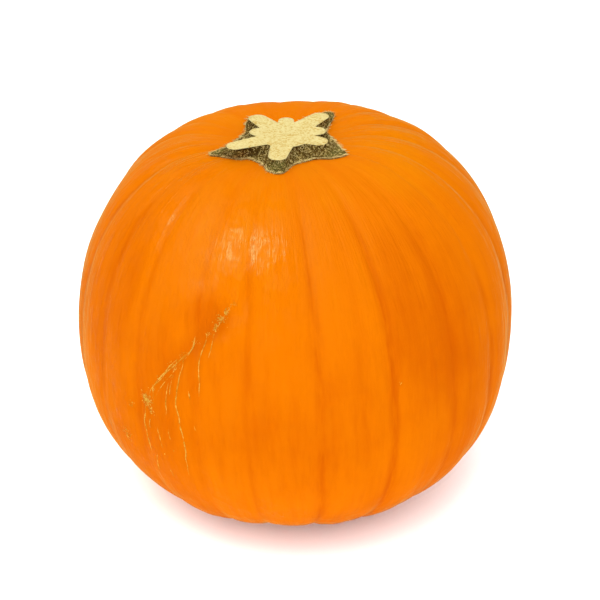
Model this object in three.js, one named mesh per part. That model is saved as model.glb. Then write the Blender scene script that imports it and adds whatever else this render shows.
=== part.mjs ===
// A ripe orange pumpkin with a stem cut off low.
// Millimetres, +Z up, the front (the side with the scarred crease on its left) faces -Y.
// The fruit is one closed solid and the stem stub, which sits on its flat top, is another.
// Both are spheres of three.js whose vertices are moved by formulas about the growing axis.
import * as THREE from "three";
import { mergeVertices } from "three/addons/utils/BufferGeometryUtils.js";

// Driving dimensions of the fruit
const WIDTH = 260;
const HALF_WIDTH = WIDTH / 2;
const CROWN_HEIGHT = 135;
const BASE_DEPTH = 110.5;
const CROWN_FULLNESS = 2.47;
const BASE_FULLNESS = 2.15;
const AXIS_LEAN_DEG = 3.6;

// The hollow round the stem, the hollow round the blossom scar and the spot that it rests on
const CROWN_HOLLOW = { depth: 11, radius: 49 };
const BLOSSOM_HOLLOW = { depth: 7, radius: 20 };
const FOOT_CUT = 3.8;

// Ribs: each groove has an azimuth about the growing axis in degrees, a share of the full depth
// at its middle and a share of the extra depth on the shoulder, which is smooth at the front
const GROOVES = [
  [-168, 1.0, 0.5], [-150, 0.8, 0.4], [-133.5, 0.8, 0.2], [-115.5, 0.8, 0.1], [-101.5, 0.9, 0],
  [-83.5, 1.1, 0.1], [-72, 0.5, 0], [-64.5, 1.3, 0.2], [-53, 0.5, 0], [-45.5, 1.0, 0.1],
  [-29, 1.1, 0.2], [-12, 1.1, 0.4], [5, 0.9, 0.4], [22, 1.0, 0.3], [40, 1.2, 0.1], [57, 0.9, -0.1],
  [75, 1.1, -0.3], [92, 1.3, -0.4], [110, 0.9, -0.3], [127, 1.1, -0.2], [145, 0.9, 0.1], [162, 0.5, 0.3],
];
const GROOVE_DEPTH = { middle: 1.4, shoulder: 1.9, base: 0.4 };
const GROOVE_WIDTH_DEG = { line: 1.9, valley: 5.6 };
const SHOULDER_POLAR_DEG = 28;
const BASE_POLAR_DEG = 150;
const GROOVE_SPREAD_DEG = 22;
// Polar angles between which the grooves rise out of the crown, sink at the foot and end
const CROWN_FADE_DEG = [2, 26];
const MIDDLE_FADE_DEG = [6, 42];
const FOOT_FADE_DEG = [148, 163];
const FOOT_FADE_SHARE = 0.75;
const BLOSSOM_FADE_DEG = 8;

// Broad swellings and hollows: azimuth, polar angle, their spreads in degrees, and height
const SWELLINGS = [
  [88, 30, 20, 14, -1.6], [170, 51, 12, 11, -1.8], [-12, 102, 14, 14, -1.3], [30, 42, 16, 12, 0.8],
  [-176, 84, 14, 16, 1.0], [-92, 136, 16, 9, -1.3], [-126, 131, 14, 8, 0.8],
];

// The crease in the front left: its path as azimuth and polar angle, upper end first
const CREASE_PATH = [[-103, 55], [-110, 61], [-117.5, 68], [-124, 76], [-131, 86]];
const CREASE = { depth: 4.2, upperWidth: 9, lowerWidth: 5, brow: 1.8, browOffset: 17, browWidth: 10 };
// Share of its length at which the crease is deepest, and how fast it fades above and below that
const CREASE_DEEPEST = 0.32;
const CREASE_FADE = { above: 0.3, below: 0.55 };

// Driving dimensions of the stem stub
const STEM_CUT_HEIGHT = 8;
const STEM_RIM = 0.9;
const STEM_GAP = 0.35;
const STEM_FLARE = 1.9;
// Centres of the flared foot and of the cut face in plan, measured from the crown's pole
const FLANGE_CENTRE = { x: 0.5, y: -4.3 };
const CUT_CENTRE = { x: 2.4, y: -6.2 };
const CUT_CORE_RADIUS = 16;
// How much wider each lobe gets towards the middle, as a slope of its sides
const CUT_SPLAY = 0.08;
// Cut face lobes: azimuth, reach of the tip and half width
const CUT_LOBES = [
  [-153.5, 37, 5.0], [-98.5, 34, 5.4], [-23, 26, 5.7], [20, 24.5, 5.7], [53.5, 39, 5.4], [89, 25.5, 4.6],
  [124, 34.5, 5.4], [162, 21.5, 5.6],
];
// Edge of the flared foot of the stem: azimuth and radius at its tips, its dips and between them
const FLANGE_EDGE = [
  [-178, 33], [-170, 37.5], [-163, 43.5], [-156, 37.5], [-145, 33], [-137, 27], [-125, 27], [-112, 29.5],
  [-101, 39], [-94, 41.5], [-88, 40.5], [-81, 32.5], [-71, 28.8], [-57, 28], [-47, 30.5], [-38, 38],
  [-27, 42], [-18, 36], [0, 31], [14, 29], [32, 30], [43, 39], [53, 50], [62, 44], [74, 31], [90, 29],
  [104, 33], [115, 43], [124, 38], [136, 30], [155, 27], [170, 29],
];

// Mesh steps
const COLUMN_OFFSETS_DEG = [-2.4, 0, 2.4];
const WIDE_RIB_DEG = 10;
const RING_POLARS_DEG = [
  0, 5, 9, 13, 17, 21, 25, 29, 33, 37.5, 42, 46.5, 51, 55, 59, 63, 67, 71, 75, 79, 83, 87.5, 93,
  99, 105, 111, 117, 123, 129, 135, 141, 146, 150.5, 155, 159, 163, 167, 171, 175, 180,
];
const STEM_COLUMNS = 104;
const STEM_UNDER_STEPS = [0, 0.3, 0.55, 0.78, 1];
const STEM_SIDE_STEPS = [0, 0.2, 0.45, 0.72, 1];
const STEM_TOP_STEPS = [1, 0.62, 0.3, 0];
const NEAR_POLE = 1e-4;
const SEARCH_STEPS = 12;
const WELD_DISTANCE = 1e-3;

const rad = THREE.MathUtils.degToRad;
const deg = THREE.MathUtils.radToDeg;
const ramp = THREE.MathUtils.smoothstep;
const bell = (x, width) => Math.exp(-((x / width) ** 2));
const turn = (angle) => ((((angle + 180) % 360) + 360) % 360) - 180;

// Unit direction for an azimuth and a polar angle about the growing axis, which leans at the
// crown and runs straight at the base
function direction(azimuth, polar) {
  const lean = -rad(AXIS_LEAN_DEG) * (0.5 + 0.5 * Math.cos(polar));
  const across = Math.sin(polar);
  const way = new THREE.Vector3(across * Math.cos(azimuth), across * Math.sin(azimuth), Math.cos(polar));
  return way.applyAxisAngle(new THREE.Vector3(0, 1, 0), lean);
}

// Point and outward normal of the smooth form, a rounded solid of revolution, in one direction
function smoothForm(way) {
  const power = way.z > 0 ? CROWN_FULLNESS : BASE_FULLNESS;
  const half = way.z > 0 ? CROWN_HEIGHT : BASE_DEPTH;
  const flat = Math.hypot(way.x, way.y);
  const reach = ((flat / HALF_WIDTH) ** power + (Math.abs(way.z) / half) ** power) ** (-1 / power);
  const outward = ((reach * flat) / HALF_WIDTH) ** (power - 1) / HALF_WIDTH;
  const upward = (Math.sign(way.z) * ((reach * Math.abs(way.z)) / half) ** (power - 1)) / half;
  const safe = Math.max(flat, Number.EPSILON);
  const normal = new THREE.Vector3((outward * way.x) / safe, (outward * way.y) / safe, upward);
  return { reach, point: way.clone().multiplyScalar(reach), normal: normal.normalize() };
}

// Height of the ribs and grooves over the smooth form
function ribs(azimuthDeg, polarDeg) {
  const base = GROOVE_DEPTH.base * bell(polarDeg - BASE_POLAR_DEG, GROOVE_SPREAD_DEG);
  const middle = (GROOVE_DEPTH.middle + base) * ramp(polarDeg, ...MIDDLE_FADE_DEG);
  const shoulder = GROOVE_DEPTH.shoulder * bell(polarDeg - SHOULDER_POLAR_DEG, GROOVE_SPREAD_DEG);
  const footFade = 1 - FOOT_FADE_SHARE * ramp(polarDeg, ...FOOT_FADE_DEG);
  const fade = ramp(polarDeg, ...CROWN_FADE_DEG) * footFade * ramp(180 - polarDeg, 0, BLOSSOM_FADE_DEG);
  let valley = 0;
  for (const [azimuth, share, shoulderShare] of GROOVES) {
    const away = turn(azimuthDeg - azimuth);
    const cut = 0.5 * (bell(away, GROOVE_WIDTH_DEG.line) + bell(away, GROOVE_WIDTH_DEG.valley));
    valley += cut * (share * middle + shoulderShare * shoulder);
  }
  return -fade * valley;
}

// Height of the broad swellings
function swellings(azimuthDeg, polarDeg) {
  let height = 0;
  for (const [azimuth, polar, spreadA, spreadP, rise] of SWELLINGS) {
    height += rise * bell(turn(azimuthDeg - azimuth), spreadA) * bell(polarDeg - polar, spreadP);
  }
  return height;
}

// Height of the crease, with the skin above it bulging over like a brow
function crease(azimuthDeg, polarDeg) {
  const perDegree = rad(HALF_WIDTH);
  const across = perDegree * Math.sin(rad(polarDeg));
  const place = new THREE.Vector2(turn(azimuthDeg) * across, polarDeg * perDegree);
  let nearest = { distance: Infinity, side: 0, along: 0 };
  for (let i = 0; i < CREASE_PATH.length - 1; i += 1) {
    const a = new THREE.Vector2(CREASE_PATH[i][0] * across, CREASE_PATH[i][1] * perDegree);
    const b = new THREE.Vector2(CREASE_PATH[i + 1][0] * across, CREASE_PATH[i + 1][1] * perDegree);
    const span = b.clone().sub(a);
    const part = THREE.MathUtils.clamp(place.clone().sub(a).dot(span) / span.lengthSq(), 0, 1);
    const off = place.clone().sub(a.clone().addScaledVector(span, part));
    if (off.length() < nearest.distance) {
      nearest = { distance: off.length(), side: Math.sign(span.cross(off)), along: i + part };
    }
  }
  const along = nearest.along / (CREASE_PATH.length - 1);
  const fade = along < CREASE_DEEPEST ? CREASE_FADE.above : CREASE_FADE.below;
  const strength = bell(along - CREASE_DEEPEST, fade);
  const upper = nearest.side > 0;
  const width = upper ? CREASE.upperWidth : CREASE.lowerWidth;
  const brow = upper ? CREASE.brow * bell(nearest.distance - CREASE.browOffset, CREASE.browWidth) : 0;
  return strength * (brow - CREASE.depth * bell(nearest.distance, width));
}

// A point of the skin
function skin(azimuth, polar) {
  const azimuthDeg = deg(azimuth);
  const polarDeg = deg(polar);
  const form = smoothForm(direction(azimuth, polar));
  const height = ribs(azimuthDeg, polarDeg) + swellings(azimuthDeg, polarDeg) + crease(azimuthDeg, polarDeg);
  const point = form.point.addScaledVector(form.normal, height);
  const fromAxis = form.reach * Math.sin(polar);
  if (polar < Math.PI / 2) {
    point.z -= CROWN_HOLLOW.depth * Math.exp(-((fromAxis / CROWN_HOLLOW.radius) ** 3));
  } else {
    point.z += BLOSSOM_HOLLOW.depth * bell(fromAxis, BLOSSOM_HOLLOW.radius);
  }
  point.z = Math.max(point.z, FOOT_CUT - BASE_DEPTH);
  return point;
}

// Azimuths of the mesh columns: three at each groove and one on each wide rib between
function columnAzimuths() {
  const list = [];
  GROOVES.forEach(([azimuth], i) => {
    const next = GROOVES[(i + 1) % GROOVES.length][0] + (i + 1 === GROOVES.length ? 360 : 0);
    list.push(...COLUMN_OFFSETS_DEG.map((offset) => azimuth + offset));
    if (next - azimuth > WIDE_RIB_DEG) list.push((azimuth + next) / 2);
  });
  return list;
}

// A sphere whose vertices are placed by a function of their column and row, welded and closed
function placedSphere(columns, rows, place) {
  const geometry = new THREE.SphereGeometry(1, columns, rows);
  const { position } = geometry.attributes;
  const stride = columns + 1;
  for (let i = 0; i < position.count; i += 1) {
    const point = place((i % stride) % columns, Math.floor(i / stride));
    position.setXYZ(i, point.x, point.y, point.z);
  }
  geometry.deleteAttribute("normal");
  geometry.deleteAttribute("uv");
  const welded = mergeVertices(geometry, WELD_DISTANCE);
  welded.computeVertexNormals();
  return welded;
}

function fruitGeometry() {
  const azimuths = columnAzimuths().map(rad);
  const polars = RING_POLARS_DEG.map(rad);
  const last = polars.length - 1;
  return placedSphere(azimuths.length, last, (column, row) => {
    const tip = row === 0 || row === last;
    return skin(tip ? 0 : azimuths[column], polars[row]);
  });
}

// The skin's height under a point given in plan, found by stepping the angles towards it
function skinHeight(x, y) {
  const pole = skin(0, NEAR_POLE);
  let azimuth = Math.atan2(y - pole.y, x - pole.x);
  let polar = Math.hypot(x - pole.x, y - pole.y) / CROWN_HEIGHT;
  let point = skin(azimuth, polar);
  for (let i = 0; i < SEARCH_STEPS; i += 1) {
    const offX = x - point.x;
    const offY = y - point.y;
    polar += (offX * Math.cos(azimuth) + offY * Math.sin(azimuth)) / CROWN_HEIGHT;
    azimuth += (offY * Math.cos(azimuth) - offX * Math.sin(azimuth)) / Math.max(CROWN_HEIGHT * polar, 1);
    polar = Math.max(polar, NEAR_POLE);
    point = skin(azimuth, polar);
  }
  return point.z;
}

// Radius of the stem's flared foot at an azimuth, as a smooth closed curve through its edge points
function flangeRadius(azimuthDeg) {
  const count = FLANGE_EDGE.length;
  const knot = (i) => {
    const [azimuth, radius] = FLANGE_EDGE[((i % count) + count) % count];
    return [azimuth + 360 * Math.floor(i / count), radius];
  };
  const at = azimuthDeg < FLANGE_EDGE[0][0] ? azimuthDeg + 360 : azimuthDeg;
  const after = FLANGE_EDGE.findIndex(([azimuth]) => azimuth > at);
  const i = (after < 0 ? count : after) - 1;
  const [before, start, end, next] = [knot(i - 1), knot(i), knot(i + 1), knot(i + 2)];
  const span = end[0] - start[0];
  const t = (at - start[0]) / span;
  const slopeStart = (span * (end[1] - before[1])) / (end[0] - before[0]);
  const slopeEnd = (span * (next[1] - start[1])) / (next[0] - start[0]);
  const hold = (1 + 2 * t) * (1 - t) ** 2 * start[1] + t * t * (3 - 2 * t) * end[1];
  return hold + t * (1 - t) ** 2 * slopeStart + t * t * (t - 1) * slopeEnd;
}

// Radius of the cut face about its own centre: the furthest reach of its round-ended lobes
function cutRadius(azimuth) {
  let reach = CUT_CORE_RADIUS;
  for (const [lobeDeg, tip, half] of CUT_LOBES) {
    const away = azimuth - rad(lobeDeg);
    const along = Math.cos(away);
    const side = Math.abs(Math.sin(away));
    if (along <= 0) continue;
    const centre = tip - half;
    const atEdge = (half + CUT_SPLAY * centre) / Math.max(side + CUT_SPLAY * along, Number.EPSILON);
    const atTip = centre * along + Math.sqrt(Math.max(half * half - (centre * side) ** 2, 0));
    reach = Math.max(reach, atEdge * along < centre ? atEdge : atTip);
  }
  return reach;
}

function stemGeometry() {
  const pole = skin(0, NEAR_POLE);
  const cutZ = pole.z + STEM_CUT_HEIGHT;
  const centre = new THREE.Vector2(pole.x + FLANGE_CENTRE.x, pole.y + FLANGE_CENTRE.y);
  const cutCentre = new THREE.Vector2(pole.x + CUT_CENTRE.x, pole.y + CUT_CENTRE.y);
  const rowKinds = [
    ...STEM_TOP_STEPS.toReversed().map((share) => ({ kind: "top", share })),
    ...STEM_SIDE_STEPS.slice(1, -1).toReversed().map((share) => ({ kind: "side", share })),
    { kind: "side", share: 0 },
    ...STEM_UNDER_STEPS.toReversed().map((share) => ({ kind: "under", share })),
  ];
  const last = rowKinds.length - 1;
  return placedSphere(STEM_COLUMNS, last, (column, row) => {
    const azimuth = (column / STEM_COLUMNS - 0.5) * Math.PI * 2;
    const way = new THREE.Vector2(Math.cos(azimuth), Math.sin(azimuth));
    const edge = centre.clone().addScaledVector(way, flangeRadius(deg(azimuth)));
    const cut = cutCentre.clone().addScaledVector(way, cutRadius(azimuth));
    const { kind, share } = rowKinds[row];
    if (kind === "top") {
      const flat = cutCentre.clone().lerp(cut, share);
      return new THREE.Vector3(flat.x, flat.y, cutZ);
    }
    if (kind === "under") {
      const flat = centre.clone().lerp(edge, share);
      return new THREE.Vector3(flat.x, flat.y, skinHeight(flat.x, flat.y) + STEM_GAP);
    }
    const flat = cut.clone().lerp(edge, (1 - share) ** STEM_FLARE);
    const low = skinHeight(flat.x, flat.y) + STEM_GAP + STEM_RIM;
    return new THREE.Vector3(flat.x, flat.y, THREE.MathUtils.lerp(low, cutZ, share));
  });
}

// The whole stands with its lowest face at height 0 and the middle of its box over the origin
function standOnOrigin(group) {
  const box = new THREE.Box3().setFromObject(group, true);
  const middle = box.getCenter(new THREE.Vector3());
  for (const mesh of group.children) mesh.position.set(-middle.x, -middle.y, -box.min.z);
}

const flesh = new THREE.MeshStandardMaterial({ color: 0xf07a0a, roughness: 0.42, metalness: 0 });
const husk = new THREE.MeshStandardMaterial({ color: 0x8b7a48, roughness: 0.85, metalness: 0 });

const fruit = new THREE.Mesh(fruitGeometry(), flesh);
fruit.name = "pumpkin_fruit";
const stem = new THREE.Mesh(stemGeometry(), husk);
stem.name = "stem_stub";

const pumpkin = new THREE.Group();
pumpkin.add(fruit, stem);
standOnOrigin(pumpkin);

export default pumpkin;
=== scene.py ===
import logging
import math
import random
from dataclasses import dataclass, field
from enum import Enum
from typing import Callable, Sequence

import bmesh
import bpy
import numpy as np
from mathutils import Matrix, Vector


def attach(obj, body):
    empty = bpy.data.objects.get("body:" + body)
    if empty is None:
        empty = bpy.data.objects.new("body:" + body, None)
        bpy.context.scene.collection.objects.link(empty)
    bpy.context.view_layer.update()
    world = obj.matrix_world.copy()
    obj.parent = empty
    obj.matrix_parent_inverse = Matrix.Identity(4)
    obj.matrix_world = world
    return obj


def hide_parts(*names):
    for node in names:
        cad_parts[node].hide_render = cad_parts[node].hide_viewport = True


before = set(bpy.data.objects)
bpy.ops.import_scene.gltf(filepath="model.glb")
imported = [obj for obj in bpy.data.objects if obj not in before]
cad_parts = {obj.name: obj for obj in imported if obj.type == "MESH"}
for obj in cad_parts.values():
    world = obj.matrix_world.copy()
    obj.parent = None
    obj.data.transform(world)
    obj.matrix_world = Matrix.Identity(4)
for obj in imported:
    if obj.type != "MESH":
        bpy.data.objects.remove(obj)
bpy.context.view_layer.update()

LOG = logging.getLogger("pumpkin")
Array = np.ndarray
Pair = tuple[float, float]
Triple = tuple[float, float, float]
Tint = tuple[float, float, float, float]
Span = tuple[float, float, float, float]
Colour = tuple[int, int, int]
Mesh = bmesh.types.BMesh
Vertex = bmesh.types.BMVert
Socket = bpy.types.NodeSocket
Material = bpy.types.Material
Object = bpy.types.Object

MM = 0.001
STUDIO_LIGHT = 1.72


def bell(x: Array, width: Array | float) -> Array:
    """Bell curve of height 1 with the given half width."""
    return np.exp(-((x / width) ** 2))


def turn(degrees: Array) -> Array:
    """Bring angles in degrees between -180 and 180."""
    return (degrees + 180.0) % 360.0 - 180.0


def smooth(share: Array) -> Array:
    """Ease in and out between 0 and 1."""
    return share * share * (3.0 - 2.0 * share)


def ramp(x: Array, start: float, end: float) -> Array:
    """Smooth rise from 0 at start to 1 at end."""
    return smooth(np.clip((x - start) / (end - start), 0.0, 1.0))


def window(x: Array, rise: Pair, fall: Pair) -> Array:
    """Smooth rise from 0 to 1 and fall back to 0, each between two values."""
    return ramp(x, *rise) * (1.0 - ramp(x, *fall))


class LatticeNoise:
    """Smooth seeded noise over azimuth and polar angle, closed round the fruit."""

    def __init__(self, columns: int, rows: int, seed: int) -> None:
        """Fill the lattice.

        Args:
            columns: Cells round the fruit.
            rows: Cells from the stem to the blossom end.
            seed: Seed of the values.
        """
        self.columns = columns
        self.rows = rows
        self.values = np.random.default_rng(seed).uniform(-1.0, 1.0, (rows + 2, columns))

    def at(self, azimuth_deg: Array, polar_deg: Array) -> Array:
        """Noise between -1 and 1 at places of the skin.

        Args:
            azimuth_deg: Azimuths in degrees.
            polar_deg: Polar angles in degrees.

        Returns:
            One value for each place.
        """
        x = (azimuth_deg % 360.0) / 360.0 * self.columns
        y = np.clip(polar_deg / 180.0, 0.0, 1.0) * self.rows
        i = np.floor(x).astype(int)
        j = np.floor(y).astype(int)
        u = smooth(x - i)
        v = smooth(y - j)
        i0 = i % self.columns
        i1 = (i + 1) % self.columns
        top = self.values[j, i0] * (1.0 - u) + self.values[j, i1] * u
        low = self.values[j + 1, i0] * (1.0 - u) + self.values[j + 1, i1] * u
        return top * (1.0 - v) + low * v


@dataclass(frozen=True)
class Groove:
    """One groove between ribs: its azimuth and its shares of the depths."""

    azimuth: float
    share: float
    shoulder: float


@dataclass(frozen=True)
class Swelling:
    """A broad rise or hollow of the skin, in degrees and millimetres."""

    azimuth: float
    polar: float
    spread_azimuth: float
    spread_polar: float
    rise: float


def hills(items: Sequence[Swelling], azimuth: Array, polar: Array) -> Array:
    """Sum of the rises and hollows of a list at places of the skin.

    Args:
        items: The rises and hollows.
        azimuth: Azimuths in degrees.
        polar: Polar angles in degrees.

    Returns:
        One height for each place.
    """
    height = np.zeros_like(polar)
    for item in items:
        across = bell(turn(azimuth - item.azimuth), item.spread_azimuth)
        height += item.rise * across * bell(polar - item.polar, item.spread_polar)
    return height


def grooves() -> list[Groove]:
    """List the grooves from the left rim round the front and back again.

    Returns:
        The grooves in the order of their azimuths.
    """
    table = [
        (-168, 1.0, 0.5), (-150, 0.8, 0.4), (-133.5, 0.8, 0.2), (-115.5, 0.8, 0.1),
        (-101.5, 0.9, 0.0), (-83.5, 1.1, 0.1), (-72, 0.5, 0.0), (-64.5, 1.3, 0.2),
        (-53, 0.5, 0.0), (-45.5, 1.0, 0.1), (-29, 1.1, 0.2), (-12, 1.1, 0.4), (5, 0.9, 0.4),
        (22, 1.0, 0.3), (40, 1.2, 0.1), (57, 0.9, -0.1), (75, 1.1, -0.3), (92, 1.3, -0.4),
        (110, 0.9, -0.3), (127, 1.1, -0.2), (145, 0.9, 0.1), (162, 0.5, 0.3),
    ]
    return [Groove(*row) for row in table]


def tone_and_shading_patches() -> list[Swelling]:
    """List the patches that make the skin deeper (above 0) or paler (below 0): partly its own uneven tone,
    partly painted light and shade.

    Returns:
        The patches, with the depth of the colour in place of the rise.
    """
    table = [
        # Painted shade: the brow above the crease (-113, 57) and the front's lower middle (-100, 82); painted
        # light: a pale halo round the highlight (-99, 47) and the front's lower side edges (-20, 95) and
        # (-160, 98).
        (-147, 46, 12, 15, 0.4), (-113, 57, 6, 6, 0.8), (-99, 47, 15, 10, -0.3),
        (-25, 80, 20, 30, 0.1), (-152, 80, 16, 26, 0.1), (120, 60, 30, 20, 0.5),
        (-10, 36, 30, 14, -0.3), (-100, 82, 24, 18, 0.2), (-20, 95, 14, 26, -0.3),
        (-160, 98, 14, 20, -0.3), (60, 100, 22, 22, -0.4), (150, 95, 20, 18, 0.4), (15, 80, 16, 24, 0.35),
    ]
    return [Swelling(*row) for row in table]


def swellings() -> list[Swelling]:
    """List the broad rises and hollows.

    Returns:
        The swellings.
    """
    table = [
        (88, 30, 20, 14, -1.6), (170, 51, 12, 11, -1.8), (-12, 102, 14, 14, -1.3),
        (30, 42, 16, 12, 0.8), (-176, 84, 14, 16, 1.0), (-92, 136, 16, 9, -1.3),
        (-126, 131, 14, 8, 0.8),
    ]
    return [Swelling(*row) for row in table]


@dataclass
class FruitForm:
    """The fruit's skin as a formula over azimuth and polar angle about its growing axis.

    Lengths are millimetres and angles degrees. The axis leans at the crown only. A fade, a rise
    or a fall is the pair of angles between which it happens.
    """

    half_width: float = 130.0
    crown_height: float = 135.0
    base_depth: float = 110.5
    crown_fullness: float = 2.47
    base_fullness: float = 2.15
    lean: float = 3.6
    crown_hollow: Pair = (11.0, 49.0)
    hollow_power: float = 3.0
    blossom_hollow: Pair = (7.0, 20.0)
    foot_cut: float = 3.8
    groove_middle: float = 1.4
    groove_shoulder: float = 1.9
    groove_base: float = 0.4
    line_width: float = 1.9
    valley_width: float = 5.6
    shoulder_polar: float = 28.0
    base_polar: float = 150.0
    groove_spread: float = 22.0
    crown_fade: Pair = (2.0, 26.0)
    middle_fade: Pair = (6.0, 42.0)
    foot_fade: Pair = (148.0, 163.0)
    foot_loss: float = 0.75
    pole_fade: Pair = (172.0, 180.0)
    line_sharpness: float = 0.6
    line_shoulder: float = 0.8
    line_start: Pair = (22.0, 52.0)
    line_end: Pair = (140.0, 160.0)
    late_lines: Triple = (-28.0, 28.0, 24.0)
    crease_path: tuple[Pair, ...] = ((-103, 55), (-110, 61), (-117.5, 68), (-124, 76), (-131, 86))
    crease_depth: float = 4.2
    crease_widths: Pair = (9.0, 5.0)
    brow: Triple = (1.8, 17.0, 10.0)
    crease_deepest: float = 0.32
    crease_fade: Pair = (0.3, 0.55)
    ripple: float = 0.2
    ripple_rise: Pair = (10.0, 24.0)
    ripple_fall: Pair = (148.0, 168.0)
    finer_share: float = 0.45
    wrinkles: tuple[Swelling, ...] = (Swelling(-158, 27, 34, 13, 1.0), Swelling(5, 27, 42, 13, 1.0))
    wrinkle_height: float = 1.3
    relief_rise: Pair = (16.0, 46.0)
    relief_fall: Pair = (160.0, 175.0)
    wrinkle_relief: float = 1.5
    rubbed_rise: Pair = (-90.0, -83.0)
    rubbed_fall: Pair = (-25.0, 15.0)
    rubbed: float = 0.85
    rubbed_left: Swelling = Swelling(-122, 42, 10, 20, 0.75)
    mottle: tuple[Pair, Pair] = ((0.12, 0.5), (0.08, 0.2))
    # Painted light and shade: the crown painted paler, and the skin painted deeper from the shoulder to the
    # middle and again towards the bottom.
    tone_bands: tuple[Triple, ...] = ((0.35, 30.0, 48.0), (0.4, 42.0, 80.0), (0.35, 112.0, 140.0))
    crown_paleness: float = 0.35
    tone_step: float = -64.5
    step_blur: Pair = (-1.5, 2.0)
    step_patch: Swelling = Swelling(-52, 62, 17, 26, 0.55)
    groove_list: list[Groove] = field(default_factory=grooves)
    swelling_list: list[Swelling] = field(default_factory=swellings)
    patch_list: list[Swelling] = field(default_factory=tone_and_shading_patches)
    coarse: LatticeNoise = field(default_factory=lambda: LatticeNoise(64, 13, 11))
    middling: LatticeNoise = field(default_factory=lambda: LatticeNoise(128, 22, 12))
    search_rounds: int = 12
    shift: Triple = (0.0, 0.0, 0.0)

    def direction(self, azimuth: Array, polar: Array) -> tuple[Array, Array, Array]:
        """Unit direction from the middle of the fruit.

        Args:
            azimuth: Azimuths in degrees.
            polar: Polar angles in degrees.

        Returns:
            The direction's x, y and z.
        """
        a = np.radians(azimuth)
        p = np.radians(polar)
        tilt = -math.radians(self.lean) * (0.5 + 0.5 * np.cos(p))
        x = np.sin(p) * np.cos(a)
        z = np.cos(p)
        leaned_x = x * np.cos(tilt) + z * np.sin(tilt)
        leaned_z = z * np.cos(tilt) - x * np.sin(tilt)
        return leaned_x, np.sin(p) * np.sin(a), leaned_z

    def valley(self, azimuth: Array, polar: Array) -> Array:
        """Depth of the grooves, 0 on the crest of a rib.

        Args:
            azimuth: Azimuths in degrees.
            polar: Polar angles in degrees.

        Returns:
            The depths in millimetres.
        """
        base = self.groove_base * bell(polar - self.base_polar, self.groove_spread)
        middle = (self.groove_middle + base) * ramp(polar, *self.middle_fade)
        shoulder = self.groove_shoulder * bell(polar - self.shoulder_polar, self.groove_spread)
        foot = 1.0 - self.foot_loss * ramp(polar, *self.foot_fade)
        depth = np.zeros_like(polar)
        for groove in self.groove_list:
            away = turn(azimuth - groove.azimuth)
            cut = 0.5 * (bell(away, self.line_width) + bell(away, self.valley_width))
            depth += cut * (groove.share * middle + groove.shoulder * shoulder)
        return window(polar, self.crown_fade, self.pole_fade) * foot * depth

    def groove_shade_line(self, azimuth: Array, polar: Array) -> Array:
        """Strength of the thin line of painted shade at the bottom of each groove.

        Args:
            azimuth: Azimuths in degrees.
            polar: Polar angles in degrees.

        Returns:
            The strengths, from 0 to about 1.
        """
        strength = np.zeros_like(polar)
        for groove in self.groove_list:
            depth = groove.share ** 2 + self.line_shoulder * groove.shoulder
            strength += depth * bell(turn(azimuth - groove.azimuth), self.line_width * self.line_sharpness)
        late_azimuth, spread, delay = self.late_lines
        later = delay * bell(turn(azimuth - late_azimuth), spread)
        return strength * ramp(polar - later, *self.line_start) * (1.0 - ramp(polar, *self.line_end))

    def tone_and_painted_shading(self, azimuth: Array, polar: Array) -> Array:
        """How much deeper than the middle tone the skin looks: its own uneven tone plus painted light and
        shade, with a painted paler crown and painted shade deepening it downwards.

        Args:
            azimuth: Azimuths in degrees.
            polar: Polar angles in degrees.

        Returns:
            The depths of the colour, from -1 to 1.
        """
        shade = hills(self.patch_list, azimuth, polar) - self.crown_paleness
        for noise, (strength, stretch) in zip((self.coarse, self.middling), self.mottle):
            shade += strength * noise.at(azimuth, polar * stretch)
        # Painted light on the crown and painted shade deepening the skin downwards.
        for gain, start, end in self.tone_bands:
            shade += gain * ramp(polar, start, end)
        beyond = ramp(turn(azimuth - self.tone_step), *self.step_blur)
        return shade + beyond * hills([self.step_patch], azimuth, polar)

    def crease(self, azimuth: Array, polar: Array) -> tuple[Array, Array]:
        """The crease of the front left, with its brow above.

        Args:
            azimuth: Azimuths in degrees.
            polar: Polar angles in degrees.

        Returns:
            Its height in millimetres, and how near its bottom a place is, from 0 to 1, which sets the painted
            shade in the crease.
        """
        per_degree = math.radians(self.half_width)
        across = per_degree * np.sin(np.radians(polar))
        x = turn(azimuth) * across
        y = polar * per_degree
        distance = np.full_like(polar, np.inf)
        side = np.zeros_like(polar)
        along = np.zeros_like(polar)
        for i, (start, end) in enumerate(zip(self.crease_path, self.crease_path[1:])):
            ax, ay = start[0] * across, start[1] * per_degree
            bx, by = end[0] * across - ax, end[1] * per_degree - ay
            part = np.clip(((x - ax) * bx + (y - ay) * by) / (bx * bx + by * by), 0.0, 1.0)
            ox, oy = x - ax - bx * part, y - ay - by * part
            reach = np.hypot(ox, oy)
            nearer = reach < distance
            distance = np.where(nearer, reach, distance)
            side = np.where(nearer, np.sign(bx * oy - by * ox), side)
            along = np.where(nearer, (i + part) / (len(self.crease_path) - 1), along)
        fade = np.where(along < self.crease_deepest, *self.crease_fade)
        strength = bell(along - self.crease_deepest, fade)
        width = np.where(side > 0, *self.crease_widths)
        rise, offset, spread = self.brow
        brow = np.where(side > 0, rise * bell(distance - offset, spread), 0.0)
        near = bell(distance, width)
        return strength * (brow - self.crease_depth * near), strength * near

    def waxy(self, azimuth: Array, polar: Array) -> Array:
        """How waxy the skin is: rubbed dull on some ribs of the crown's front."""
        right = self.rubbed * window(azimuth, self.rubbed_rise, self.rubbed_fall)
        return 1.0 - right - hills([self.rubbed_left], azimuth, polar)

    def wrinkled(self, azimuth: Array, polar: Array) -> Array:
        """How near a place is to the wrinkled shoulders at the left and the right of the stem."""
        return np.maximum(*(hills([item], azimuth, polar) for item in self.wrinkles))

    def relief(self, azimuth: Array, polar: Array) -> Array:
        """Strength of the finest relief, which the smooth front of the crown lacks."""
        body = window(polar, self.relief_rise, self.relief_fall)
        return np.maximum(body, self.wrinkle_relief * self.wrinkled(azimuth, polar))

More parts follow.
